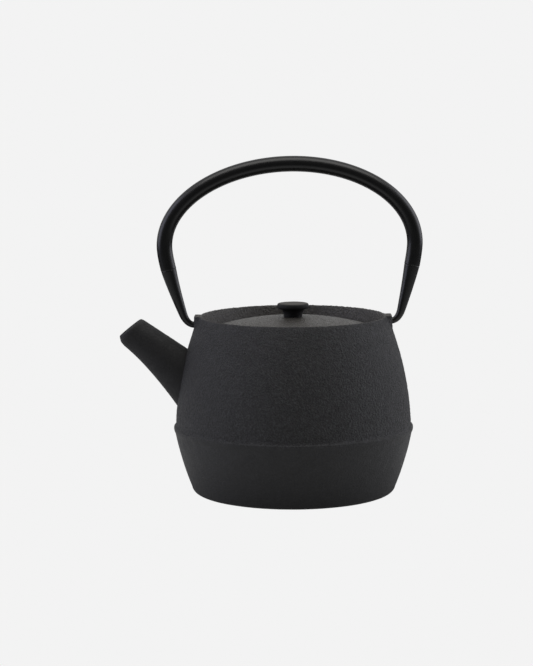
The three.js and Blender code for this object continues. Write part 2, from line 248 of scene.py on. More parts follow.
def swells(points, size, octaves=2):
    """Soft random relief of about this size, from about -1 to 1."""
    return each(points, lambda p: noise.fractal(p / size, 1.0, 2.0, octaves))


# ---------- Meshes ----------
def new_object(name, points, faces, sharp=40):
    """An object of these points, in millimetres, shaded smooth but for edges over the sharp angle."""
    mesh = bpy.data.meshes.new(name)
    mesh.from_pydata((np.asarray(points) * MM).tolist(), [], faces)
    finish_mesh(mesh, sharp)
    made = bpy.data.objects.new(name, mesh)
    bpy.context.scene.collection.objects.link(made)
    return made


def finish_mesh(mesh, sharp=40):
    """Shades a mesh smooth but for edges over the sharp angle, in degrees."""
    mesh.validate()
    mesh.shade_smooth()
    mesh.set_sharp_from_angle(angle=math.radians(sharp))


def outward(outline, closed):
    """The unit vectors that point out of an outline, which runs anticlockwise, at its points."""
    if closed:
        before, after = np.roll(outline, 1, axis=0), np.roll(outline, -1, axis=0)
    else:
        before = np.vstack([outline[:1], outline[:-1]])
        after = np.vstack([outline[1:], outline[-1:]])
    tangent = after - before
    normal = np.column_stack([tangent[:, 1], -tangent[:, 0]])
    return normal / np.maximum(np.linalg.norm(normal, axis=1), NEAR_ZERO)[:, None]


def band(low, high):
    """The faces between two rows of point numbers. A pole is a row of one number repeated."""
    low_next, high_next = np.roll(low, -1), np.roll(high, -1)
    if low[0] == low[-1]:
        corners = [low, high_next, high]
    elif high[0] == high[-1]:
        corners = [low, low_next, high]
    else:
        corners = [low, low_next, high_next, high]
    return np.column_stack(corners).tolist()


def turned(outline, facets, relief=None, closed=False):
    """Points and faces of an outline of [radius, height] turned about Z.
    It runs anticlockwise, from axis to axis, or round to its start if closed.
    relief(points) moves each point out along the outline's normal."""
    outline = np.array(outline, float)
    angles = np.arange(facets) * 2 * math.pi / facets
    spin = np.column_stack([np.cos(angles), np.sin(angles)])
    points, rows = [], []
    for (r, z), (out_r, out_z) in zip(outline, outward(outline, closed)):
        first = sum(map(len, points))
        if r < NEAR_ZERO:
            points.append(np.array([[0, 0, z]]))
            rows.append(np.full(facets, first))
            continue
        ring = np.column_stack([spin * r, np.full(facets, z)])
        if relief:
            out = np.column_stack([spin * out_r, np.full(facets, out_z)])
            ring = ring + out * relief(ring)[:, None]
        points.append(ring)
        rows.append(first + np.arange(facets))
    if closed:
        rows.append(rows[0])
    faces = []
    for low, high in zip(rows[:-1], rows[1:]):
        faces += band(low, high)
    return np.vstack(points), faces


def skinned(rings, closed=False):
    """Points and faces of a skin over rings of equally many points.
    It is capped at both ends, or runs on from its last ring to its first if closed."""
    sides = len(rings[0])
    rows = [i * sides + np.arange(sides) for i in range(len(rings))]
    faces = []
    for low, high in zip(rows[:-1], rows[1:]):
        faces += band(low, high)
    if closed:
        faces += band(rows[-1], rows[0])
    else:
        faces += [rows[0][::-1].tolist(), rows[-1].tolist()]
    return np.vstack(rings), faces


def cut(piece, *tools):
    """Takes the tools' shapes away from the piece, and removes the tools."""
    for tool in tools:
        step = piece.modifiers.new("cut", "BOOLEAN")
        step.operation = "DIFFERENCE"
        step.solver = "MANIFOLD"
        step.object = tool
        bpy.context.view_layer.update()
        shaped = piece.evaluated_get(bpy.context.evaluated_depsgraph_get())
        mesh = bpy.data.meshes.new_from_object(shaped)
        piece.modifiers.clear()
        piece.data = mesh
        bpy.data.objects.remove(tool)


# ---------- Pot ----------
POT_FACETS = 1100
PEBBLE = 1.6
PEBBLE_DEPTH = 0.27
BOWL_PEBBLE_SHARE = 0.35
RIDGE_WEAR = 0.1
NICK_DEPTH = 0.35
# The places of a casting's finishes: its outside, its lining, and the rough wall of the lid's well.
OUTSIDE, LINING, WELL = range(3)


def lug_share(points):
    """From 0 away from the lugs to 1 on them, by the distance from the plane of the handle."""
    off_plane = np.abs(points[:, 1])
    return 1 - smooth_step(LUG_HALF_WIDTH - LUG_BLEND / 2, LUG_HALF_WIDTH + LUG_BLEND / 2, off_plane)


def pot_relief(points):
    """The casting's relief outside: wrinkled on the belly, finer on the bowl, plain on ridge and rim.
    On the ridge it only ever goes into the iron, so that the pot keeps its size."""
    z = points[:, 2]
    belly = smooth_step(RIDGE_Z + 0.6, RIDGE_Z + 1.6, z)
    bowl = smooth_step(2, 10, z) * (1 - smooth_step(RIDGE_Z - 5, RIDGE_Z - 2.5, z))
    depth = PEBBLE_DEPTH * (belly + BOWL_PEBBLE_SHARE * bowl) * (pebbles(points, PEBBLE) - 0.6)
    depth += 0.05 * (swells(points, 14) - 1 + belly)
    on_ridge = np.exp(-(((z - RIDGE_Z - 0.6) / 1.1) ** 2))
    depth += RIDGE_WEAR * on_ridge * (swells(points, 3.5) - 1)
    on_rim = smooth_step(RIM_Z - 2.5, RIM_Z - 0.5, z)
    nicks = np.clip(swells(points, 4.5, 3) - 0.15, 0, 1)
    return depth - on_rim * (NICK_DEPTH * nicks + 0.08)


def pot_outline():
    """The pot's outside from the middle of its base to the middle of its rim's plane."""
    fillet = arc((BASE_R, 0), FILLET_TOP, FILLET_R, 8)
    bowl = arc(FILLET_TOP, BOWL_TOP, BOWL_ARC_R, 70)
    ridge = bezier(BOWL_TOP, (RIDGE_R + 0.1, RIDGE_Z - 1.2), (RIDGE_R, RIDGE_Z + 0.5), 10)
    ridge_top = (RIDGE_R - 0.4, RIDGE_Z + 1)
    ridge_edge = bezier(ridge[-1], (RIDGE_R, RIDGE_Z + 0.95), ridge_top, 3)
    groove = bezier(ridge_top, (BELLY_BOTTOM[0] + 0.15, RIDGE_Z + 1.25), BELLY_BOTTOM, 8)
    belly = arc(BELLY_BOTTOM, (RIM_R, RIM_Z - RIM_EDGE), BELLY_ARC_R, 150)
    rim_corners = [belly[-2], belly[-1], (RIM_R - RIM_EDGE, RIM_Z), (WELL_R, RIM_Z)]
    rim_edge = rounded(rim_corners, 0.15, 2)[1:-1]
    base = [(0, 0), (30, 0)]
    sides = [part[1:] for part in (bowl, ridge, ridge_edge, groove, belly, rim_edge)]
    top = [(WELL_R, RIM_Z), (30, RIM_Z), (0, RIM_Z)]
    return np.vstack([base, fillet, *sides, top])


def grow_lugs(points):
    """Pulls the wall out to the lugs' flat faces, where it isn't wider already, and lifts it a little."""
    radius = np.hypot(points[:, 0], points[:, 1])
    share = lug_share(points) * smooth_step(WELL_R - 1, WELL_R + 0.5, np.abs(points[:, 0]))
    belly = arc(BELLY_BOTTOM, (RIM_R, RIM_Z), BELLY_ARC_R, 60)
    wall = np.interp(points[:, 2], belly[:, 1], belly[:, 0])
    face = LUG_FACE_X * radius / np.maximum(np.abs(points[:, 0]), NEAR_ZERO)
    short = face - wall
    # A soft maximum, so that the lug's foot runs smoothly into the belly.
    growth = (short + np.sqrt(short**2 + 0.5)) / 2 * share * smooth_step(90, 100, points[:, 2])
    points[:, :2] *= (1 + growth / np.maximum(radius, NEAR_ZERO))[:, None]
    points[:, 2] += (LUG_TOP_Z - RIM_Z) * share * smooth_step(RIM_Z - 3, RIM_Z - 1, points[:, 2])
    return points


def pot_hollow_outline():
    """The hollow, from the middle of its floor up past the rim."""
    bowl = arc(FILLET_TOP, BELLY_BOTTOM, BOWL_ARC_R, 40)
    belly = arc(BELLY_BOTTOM, (RIM_R, RIM_Z), BELLY_ARC_R, 70)
    wall = np.vstack([bowl, belly[1:]]) - [WALL, 0]
    ledge_under = LEDGE_Z - LEDGE_THICK
    wall = wall[(wall[:, 1] > FLOOR + 6) & (wall[:, 1] < ledge_under - 6)]
    floor = bezier((wall[0][0] - 8, FLOOR), (wall[0][0] - 1.2, FLOOR), wall[0], 8)
    ledge = [
        (WELL_R + 4, ledge_under - 1.5),
        (LEDGE_OPENING_R, ledge_under),
        (LEDGE_OPENING_R, LEDGE_Z - SEAT_DEPTH),
        (SEAT_R, LEDGE_Z - SEAT_DEPTH),
        (SEAT_R, LEDGE_Z),
        (WELL_R, LEDGE_Z),
        (WELL_R, WELL_FLARE_Z),
        (WELL_TOP_R, RIM_Z - 0.5),
        (WELL_TOP_R + 0.5, RIM_Z + 0.25),
    ]
    ledge = rounded(np.vstack([wall[-1:], ledge]), 0.9)
    top = [(WELL_TOP_R + 0.5, LUG_TOP_Z + 5), (0, LUG_TOP_Z + 5)]
    return np.vstack([[(0, FLOOR)], floor, wall[1:], refined(ledge[1:], 0.8), top])


def well_relief(points):
    """The wall of the lid's well is rough, and its floor and all below it are plain.
    The outline's normal points into the iron here, so relief above 0 cuts deeper."""
    z = points[:, 2]
    share = smooth_step(LEDGE_Z + 0.5, LEDGE_Z + 2, z)
    nicks = np.clip(swells(points, 3.2, 3), 0, 1)
    on_rim = smooth_step(RIM_Z - 1.6, RIM_Z - 0.4, z)
    return share * 0.1 * swells(points, 1.5) + on_rim * NICK_DEPTH * nicks


def spout_rings(inset, sides, steps):
    """Rings of the spout from its root to its mouth, or with an inset of its bore, which runs on out."""
    top = bezier(SPOUT_TOP[0], np.mean(SPOUT_TOP, axis=0), SPOUT_TOP[1], 60)
    keel = np.vstack([bezier(*SPOUT_LIP, 12), bezier(*SPOUT_KEEL, 60)[1:]])
    share = np.linspace(0, 1, steps + 1) ** RING_CROWDING
    upper = along(top, share * lengths(top)[-1])
    lower = along(keel, share * lengths(keel)[-1])
    widths = SPOUT_TIP_HALF_WIDTH + (SPOUT_ROOT_HALF_WIDTH - SPOUT_TIP_HALF_WIDTH) * share
    turn = np.arange(sides) * 2 * math.pi / sides
    mouth_line = (upper[0] - lower[0]) / np.hypot(*(upper[0] - lower[0]))
    mouth_normal = np.array([-mouth_line[1], mouth_line[0]])

    def ring(i, narrower, shift):
        middle, half = (upper[i] + lower[i]) / 2, (upper[i] - lower[i]) / 2
        half = half * (1 - (inset + narrower) / np.hypot(*half))
        middle = middle + mouth_normal * shift
        width = widths[i] - inset - narrower
        x = middle[0] + half[0] * np.cos(turn)
        z = middle[1] + half[1] * np.cos(turn)
        return np.column_stack([x, -width * np.sin(turn), z])

    # The even rings stop short of the mouth, where those of its edge begin.
    first = np.argmax(share * lengths(top)[-1] > MOUTH_REACH)
    rings = [ring(i, 0, 0) for i in range(steps, first - 1, -1)]
    edge = BORE_FLARE if inset else MOUTH_EDGE
    return rings + [ring(0, narrower, shift) for narrower, shift in edge]


def spout_relief(points, middles):
    """The spout's skin, a little uneven towards and away from its middles, and pebbled at its root."""
    out = points - middles
    out /= np.linalg.norm(out, axis=1)[:, None]
    root = 1 - smooth_step(RIDGE_R, RIDGE_R + 16, np.hypot(points[:, 0], points[:, 1]))
    height = 0.02 * (swells(points, 2.2) - 1) + 0.04 * (swells(points, 9) - 1)
    height += 0.1 * root * (pebbles(points, PEBBLE) - 1)
    return points + out * height[:, None]


def spout_skin():
    """The spout's outside, from inside the pot to its mouth."""
    sides = 160
    rings = spout_rings(0, sides, 140)
    points, faces = skinned(rings)
    middles = np.repeat([ring.mean(axis=0) for ring in rings], sides, axis=0)
    return new_object("spout_casting", spout_relief(points, middles), faces)


def pot_core():
    """The pot's outside drawn a little smaller, to end the spout just under the pot's skin."""
    under_skin, low, high = 1, 20, RIM_Z - 2
    side = [(r - under_skin, z) for r, z in pot_outline() if low < z < high]
    outline = [(0, low)] + side + [(0, high)]
    return new_object("core", *turned(refined(outline, 4), 240))


def hook_axis_z(x):
    """The height of the hooks' axis, which hangs a little askew, at this place across the pot."""
    return PIVOT_Z + (x - HANDLE_SHIFT) * math.tan(HANDLE_SKEW)


def hook_hole(side):
    """The hole through one lug, with its edges a little rounded where it comes out on both sides."""
    sides = 48
    turn = np.arange(sides) * 2 * math.pi / sides
    rings = []
    for x in (50, 57.6, 58.2, 63.3, 63.9, 64.4, 75):
        radius = HOOK_HOLE_R + HOOK_HOLE_FLARE * (smooth_step(63.2, 64.2, x) + smooth_step(58.2, 57.3, x))
        y = radius * np.cos(turn) * side
        z = hook_axis_z(side * x) + radius * np.sin(turn)
        rings.append(np.column_stack([np.full(sides, side * x), y, z]))
    return new_object("hole", *skinned(rings))


def coated(solid, finishes, finish_at=lambda height: OUTSIDE):
    """Gives a solid its finishes, and each face the one that finish_at says for its height."""
    for finish in finishes:
        solid.data.materials.append(finish)
    for face in solid.data.polygons:
        face.material_index = finish_at(face.center.z / MM)
    return solid


def spout_bore(finishes):
    """The bore through the spout and the pot's wall, which is lined all the way."""
    bore = new_object("bore", *skinned(spout_rings(SPOUT_WALL, 72, 60)))
    return coated(bore, finishes, lambda height: LINING)


def pot_shell():
    """The pot's outside, with its lugs, as a full solid."""
    points, faces = turned(pot_outline(), POT_FACETS, pot_relief)
    return new_object("pot_casting", grow_lugs(points), faces)


def pot_hollow(finishes):
    """The hollow, which is lined up to the ledge."""
    solid = new_object("hollow", *turned(refined(pot_hollow_outline(), 2), 480, well_relief))
    return coated(solid, finishes, lambda height: LINING if height < LEDGE_Z - 0.1 else WELL)


def pot(iron, lining, well_iron):
    """The casting with its hollow, the spout's way in and the hook holes."""
    finishes = (iron, lining, well_iron)
    body = coated(pot_shell(), finishes)
    cut(body, pot_hollow(finishes), spout_bore(finishes), hook_hole(-1), hook_hole(1))
    finish_mesh(body.data, 50)
    return body


def spout(iron, lining):
    """The spout, which ends on the pot's wall, with its bore."""
    finishes = (iron, lining)
    body = coated(spout_skin(), finishes)
    cut(body, pot_core(), spout_bore(finishes))
    finish_mesh(body.data, 50)
    return body


# ---------- Handle ----------
def bail_line():
    """The bail's flat centre line from one hook's end to the other's, with the pivot line as its base."""
    rise = BAIL_APEX - BAIL_SHOULDER
    turn = np.linspace(0, math.pi / 2, 361)
    bow = np.column_stack([BAIL_HALF_WIDTH * np.cos(turn), BAIL_SHOULDER + rise * np.sin(turn)])
    wire = np.array([(HOOK_END, 0), HOOK_BOTTOM])
    hook = bezier(HOOK_BOTTOM, HOOK_CORNER, HOOK_TOP, 60)
    shoulder = (BAIL_HALF_WIDTH, BAIL_SHOULDER)
    leg = bezier(HOOK_TOP, (BAIL_HALF_WIDTH, BAIL_WAIST), shoulder, 160)
    right = np.vstack([wire, hook[1:], leg[1:], bow[1:]])
    left = right * [-1, 1]
    return np.vstack([left, right[-2::-1]])


BAIL = bail_line()
BAIL_LENGTH = lengths(BAIL)[-1]
SEAM = float(np.interp(SEAM_HEIGHT, BAIL[:200, 1], lengths(BAIL)[:200]))


def bail_tube(distances, radii, sides):
    """Rings round the bail's line at these distances, in the part's frame."""
    flat = along(BAIL, distances)
    flat[:, 0] -= HANDLE_LEAN * np.sin(math.pi * flat[:, 1] / BAIL_APEX)
    ahead, behind = along(BAIL, distances + 1), along(BAIL, distances - 1)
    tangent = ahead - behind
    tangent /= np.linalg.norm(tangent, axis=1)[:, None]
    turn = np.arange(sides) * 2 * math.pi / sides
    rings = []
    for (u, h), (tu, th), radius in zip(flat, tangent, radii):
        across = radius * np.cos(turn)
        u, h = u - th * across, h + tu * across
        x = u * math.cos(HANDLE_SKEW) - h * math.sin(HANDLE_SKEW) + HANDLE_SHIFT
        z = u * math.sin(HANDLE_SKEW) + h * math.cos(HANDLE_SKEW) + PIVOT_Z
        rings.append(np.column_stack([x, -radius * np.sin(turn), z]))
    return rings


def grip():
    """The grip's tube, with a small round on the outer edge of its ends."""
    sides = 72
    start, end = SEAM, BAIL_LENGTH - SEAM
    round_reach, round_depth = np.array([0, 0.12, 0.35]), np.array([0.15, 0.04, 0])
    middle = np.linspace(start + 1, end - 1, 420)
    outer = np.concatenate([start + round_reach, middle, end - round_reach[::-1]])
    radii = np.full(len(outer), GRIP_R)
    radii[:3] -= round_depth
    radii[-3:] -= round_depth[::-1]
    outside = bail_tube(outer, radii, sides)
    inner = np.linspace(end, start, 120)
    inside = bail_tube(inner, np.full(len(inner), GRIP_R - GRIP_WALL), sides)
    return new_object("grip_tube", *skinned(outside + inside, closed=True), 35)


def leg(side, name):
    """A tapered leg with its hook, from the hook's end to the spigot in the grip."""
    shoulder = SEAM - SEAM_LINE
    spigot_r = GRIP_R - GRIP_WALL - GAP
    tip = [0, 0.15]
    tip_radii = [HOOK_WIRE_R - 0.5, HOOK_WIRE_R - 0.15]
    body = np.linspace(0.5, shoulder - 0.4, 150)
    share = np.clip((body - TAPER_START) / (SEAM - TAPER_START), 0, 1)
    body_radii = HOOK_WIRE_R + (GRIP_R - 0.05 - HOOK_WIRE_R) * share
    end = [shoulder - 0.12, shoulder, shoulder, shoulder + SPIGOT_LENGTH]
    end_radii = [body_radii[-1] - 0.03, body_radii[-1] - 0.12, spigot_r, spigot_r]
    distances = np.concatenate([tip, body, end])
    radii = np.concatenate([tip_radii, body_radii, end_radii])
    if side > 0:
        distances = BAIL_LENGTH - distances
    rings = bail_tube(distances, radii, 64)
    if side > 0:
        rings = [ring[::-1] for ring in rings]
    return new_object(name, *skinned(rings), 35)


# ---------- Lid ----------
LID_FACETS = 640


def dome_z(radius, thickness=0):
    """The height of the lid's dome at a radius, or of its underside."""
    return LID_APEX_Z - LID_DOME_R + np.sqrt((LID_DOME_R - thickness) ** 2 - np.asarray(radius) ** 2)


def lid_relief(points):
    """Fine sandy grain on the dome, as the mould leaves it."""
    on_dome = points[:, 2] > dome_z(np.hypot(points[:, 0], points[:, 1])) - 0.3
    grain = 0.1 * swells(points, 0.9) + 0.12 * swells(points, 1.8) + 0.05 * swells(points, 12)
    return np.where(on_dome, grain - 0.08, 0.02 * swells(points, 2))


def lid():
    """The dome with its land on the ledge, its skirt and the screw's hole."""
    bottom = LEDGE_Z + GAP
    hole = SCREW_R + GAP
    inside = LID_SKIRT_R - LID_THICK
    land = LID_R - 4
    radii = np.arange(LID_R - 1.2, hole, -0.38)
    dome = np.column_stack([radii, dome_z(radii)])
    edge = rounded([(LID_R, bottom), (LID_R, dome_z(LID_R)), dome[0]], 1)
    under = [(r, float(dome_z(r, LID_THICK))) for r in (hole, inside / 2, inside)]
    out = [(r, float(dome_z(r, LID_THICK))) for r in (LID_SKIRT_R, land)]
    skirt = [(inside, LID_SKIRT_Z), (LID_SKIRT_R, LID_SKIRT_Z)]
    below = rounded(under + skirt + out + [(land, bottom), (LID_R, bottom)], 0.8)
    outline = np.vstack([refined(below[:-1], 2), edge, dome[1:], [(hole, dome_z(hole))]])
    points, faces = turned(outline, LID_FACETS, lid_relief, closed=True)
    return new_object("lid_dome", points, faces)


def knob_relief(points):
    """Faint unevenness of a small casting."""
    return 0.035 * swells(points, 1.3) + 0.03 * swells(points, 4) - 0.04


def knob():
    """A cast knob: a flat top, a rounded rim and a waisted neck that stands on the dome."""
    curves = [bezier(*curve) for curve in KNOB_CURVES]
    top = [(8.9, KNOB_TOP_Z - 0.02), (4, KNOB_TOP_Z), (0, KNOB_TOP_Z)]
    outside = refined(np.vstack([curves[0], *(curve[1:] for curve in curves[1:]), top]), 0.4)
    bore_r = SCREW_R + GAP
    bore = [(0, KNOB_BORE_TOP_Z), (bore_r, KNOB_BORE_TOP_Z), (bore_r, KNOB_FOOT_Z)]
    return new_object("knob", *turned(np.vstack([outside, bore]), 160, knob_relief))


def washer():
    """A flat ring under the lid, with slightly rounded edges."""
    top = float(dome_z(WASHER_R, LID_THICK)) - GAP
    bottom = top - WASHER_THICK
    inner = SCREW_R + GAP
    corners = [(inner, top), (inner, bottom), (WASHER_R, bottom), (WASHER_R, top)]
    outline = rounded(corners + corners[:2], 0.2)[1:-2]
    return new_object("lid_washer", *turned(outline, 96, closed=True))


def screw():
    """A pan-head screw with a cross recess in its head, which faces down."""
    washer_bottom = float(dome_z(WASHER_R, LID_THICK)) - GAP - WASHER_THICK
    head_top = washer_bottom - GAP
    head_low = head_top - SCREW_HEAD_HEIGHT
    head = bezier((0, head_low), (SCREW_HEAD_R, head_low), (SCREW_HEAD_R, head_top - 0.2), 10)
    shank = [(SCREW_HEAD_R, head_top), (SCREW_R, head_top)]
    threads = []
    z = head_top + 1.5
    while z < SCREW_TIP_Z - 1:
        threads += [(SCREW_R, z), (SCREW_R - THREAD_DEPTH, z + THREAD_PITCH / 2)]
        z += THREAD_PITCH
    end = [(SCREW_R - 0.3, SCREW_TIP_Z - 0.05), (0, SCREW_TIP_Z)]
    made = new_object("lid_screw", *turned(np.vstack([head, shank, threads, end]), 64))
    cut(made, slot_cutter(0, head_low), slot_cutter(math.pi / 2, head_low))
    finish_mesh(made.data, 35)
    return made


def slot_cutter(angle, z):
    """A bar for one arm of the screw's cross recess."""
    half_length, half_width, depth = 1.8, 0.4, 1.1
    flat = np.array([(-1, -1), (1, -1), (1, 1), (-1, 1)]) * [half_length, half_width]
    turn = np.array([[math.cos(angle), math.sin(angle)], [-math.sin(angle), math.cos(angle)]])
    rings = [np.column_stack([flat @ turn, np.full(4, h)]) for h in (z - 0.5, z + depth)]
    return new_object("slot", *skinned(rings))


# ---------- Tea basket ----------
def sheet_ring(name, corners, radius):
    """A ring of pressed sheet. Its section starts halfway up a wall, and its corners are rounded."""
    outline = rounded(corners + corners[:1], radius, 5)
    return new_object(name, *turned(outline[:-1], 256, closed=True))


def basket_rim():
    """The flange that hangs in the ledge's seat, with a collar round the wall's top."""
    inner = BASKET_R + GAP
    outer = inner + FLANGE_THICK
    low = LEDGE_Z - SEAT_DEPTH + GAP
    high = low + FLANGE_THICK
    collar_low = high - COLLAR_HEIGHT
    corners = [
        (inner, high - COLLAR_HEIGHT / 2),
        (inner, collar_low),
        (outer, collar_low),
        (outer, low),
        (FLANGE_R, low),
        (FLANGE_R, high),
        (inner, high),
    ]
    return sheet_ring("basket_rim", corners, 0.38)


def basket_band():
    """The band round the wall's foot, with a lip that carries the base."""
    inner = BASKET_R + GAP
    outer = inner + BASKET_SHEET
    low, high = BASKET_BASE_Z, BASKET_BASE_Z + BAND_HEIGHT
    lip_r, lip_z = BASKET_R - 4, low + BASKET_SHEET
    corners = [
        (inner, high - 2),
        (inner, lip_z),
        (lip_r, lip_z),
        (lip_r, low),
        (outer, low),
        (outer, high),
        (inner, high),
    ]
    return sheet_ring("basket_band", corners, 0.33)


def cell_outlines(sides):
    """A hole's corners and the points round its square cell, both from the cell's middle."""
    turn = (np.arange(sides) + 0.5) * 2 * math.pi / sides
    circle = np.column_stack([np.cos(turn), np.sin(turn)])
    return circle * HOLE_R / HOLE_PITCH, circle / np.abs(circle).max(axis=1)[:, None] * 0.5


def perforated(columns, rows, place):
    """Points and faces of a tube of sheet with a hole in each of its cells.
    place(u, v, side) gives the point at a cell position on one side of the sheet."""
    sides = 12
    hole, rim = cell_outlines(sides)
    found = {}
    points, faces = [], []

    def point(key, u, v, side):
        if key not in found:
            found[key] = len(points)
            points.append(place(u, v, side))
        return found[key]

    def cell(row, column, side):
        """The point numbers of one cell's hole and rim. Its rim is shared with the cells beside it."""
        holes, rims = [], []
        for k in range(sides):
            u, v = column + 0.5 + hole[k, 0], row + 0.5 + hole[k, 1]
            holes.append(point((side, row, column, k), u, v, side))
            u, v = column + 0.5 + rim[k, 0], row + 0.5 + rim[k, 1]
            rims.append(point((side, round(u % columns, 4), round(v, 4)), u, v, side))
        return holes, rims

    for row in range(rows):
        for column in range(columns):
            holes, rims = cell(row, column, 0)
            back_holes, back_rims = cell(row, column, 1)
            for k in range(sides):
                n = (k + 1) % sides
                faces.append((holes[k], holes[n], rims[n], rims[k]))
                faces.append((back_holes[n], back_holes[k], back_rims[k], back_rims[n]))
                faces.append((holes[n], holes[k], back_holes[k], back_holes[n]))
    return np.array(points), faces


def basket_wall():
    """The perforated cylinder, with a plain hem at its top and its bottom."""
    low, high = BASKET_BASE_Z + BASKET_SHEET + GAP, BASKET_TOP_Z
    columns = round(2 * math.pi * BASKET_R / HOLE_PITCH)
    rows = int((high - low - 2 * HEM) / HOLE_PITCH)
    start = (low + high) / 2 - rows * HOLE_PITCH / 2

    def place(u, v, side):
        angle = 2 * math.pi * u / columns
        radius = BASKET_R - BASKET_SHEET * side
        return (radius * math.cos(angle), radius * math.sin(angle), start + v * HOLE_PITCH)

    points, faces = perforated(columns, rows, place)
    return with_hems(points, faces, low, high)


def with_hems(points, faces, low, high):
    """The wall, with the perforated band's open edges run down and up to plain hems, and closed."""
    mesh = bmesh.new()
    verts = [mesh.verts.new(p) for p in points]
    for face in faces:
        mesh.faces.new([verts[i] for i in face])
    middle = (low + high) / 2
    for sign, target in ((-1, low), (1, high)):
        rims = [e for e in mesh.edges if e.is_boundary and (e.verts[0].co.z - middle) * sign > 0]
        grown = bmesh.ops.extrude_edge_only(mesh, edges=rims)["geom"]
        for v in (g for g in grown if isinstance(g, bmesh.types.BMVert)):
            v.co.z = target
        ends = [g for g in grown if isinstance(g, bmesh.types.BMEdge) and g.is_boundary]
        bmesh.ops.bridge_loops(mesh, edges=ends)
    bmesh.ops.recalc_face_normals(mesh, faces=mesh.faces)
    bmesh.ops.scale(mesh, vec=(MM, MM, MM), verts=mesh.verts)
    data = bpy.data.meshes.new("basket_wall")
    mesh.to_mesh(data)
    mesh.free()
    finish_mesh(data, 35)
    made = bpy.data.objects.new("basket_wall", data)
    bpy.context.scene.collection.objects.link(made)
    return made


def base_holes(reach):
    """The middles of the base's holes, in rings up to this reach."""
    middles = []
    for ring in range(int(reach / HOLE_PITCH) + 1):
        radius = ring * HOLE_PITCH
        count = max(1, int(2 * math.pi * radius / HOLE_PITCH))
        for i in range(count):
            angle = 2 * math.pi * i / count + 0.5 * ring
            middles.append((radius * math.cos(angle), radius * math.sin(angle)))
    return middles


def basket_base():
    """The bottom disc, with rings of holes round its middle."""
    radius = BASKET_R - BASKET_SHEET - GAP
    low = BASKET_BASE_Z + BASKET_SHEET + GAP
    high = low + BASKET_SHEET
    outline = [(0, low), (radius, low), (radius, high), (0, high)]
    plate = new_object("basket_base", *turned(refined(outline, 4), 128))
    points, faces = [], []
    sides = 10
    turn = np.arange(sides) * 2 * math.pi / sides
    for x, y in base_holes(radius - 4):
        ring = np.column_stack([x + HOLE_R * np.cos(turn), y + HOLE_R * np.sin(turn)])
        pin = [np.column_stack([ring, np.full(sides, h)]) for h in (low - 1, high + 1)]
        pin_points, pin_faces = skinned(pin)
        faces += [[i + len(points) for i in face] for face in pin_faces]
        points += pin_points.tolist()
    cut(plate, new_object("pins", points, faces))
    finish_mesh(plate.data, 35)
    return plate


# ---------- Materials ----------
# The dark and the light colour of each finish.
POT_BLACK = ((0.0135, 0.0135, 0.0145), (0.0155, 0.0155, 0.0168))
SPOUT_BLACK = ((0.010, 0.010, 0.0105), (0.012, 0.012, 0.0127))
LID_BROWN = ((0.029, 0.0268, 0.0238), (0.036, 0.0332, 0.0295))
KNOB_BLACK = ((0.013, 0.013, 0.0132), (0.017, 0.017, 0.0172))
ENAMEL_BLACK = ((0.012, 0.012, 0.013), (0.02, 0.02, 0.021))
PAINT_BLACK = ((0.0055, 0.0055, 0.0058), (0.0078, 0.0078, 0.0082))
STEEL_GREY = ((0.5, 0.5, 0.5), (0.66, 0.66, 0.655))
# The colour of the painted highlight where top edges catch the light.
PAINTED_HIGHLIGHT = (0.075, 0.07, 0.062)

# The iron's pattern sizes, in metres.
MOTTLE = 0.018
GLOSS_PATCH = 0.004
SAND = 0.0011
SPECK = 0.0009
SKIN = 0.0007
DUST = 0.00035
SKIN_SLANT = math.radians(50)
SKIN_STRETCH = 1.7


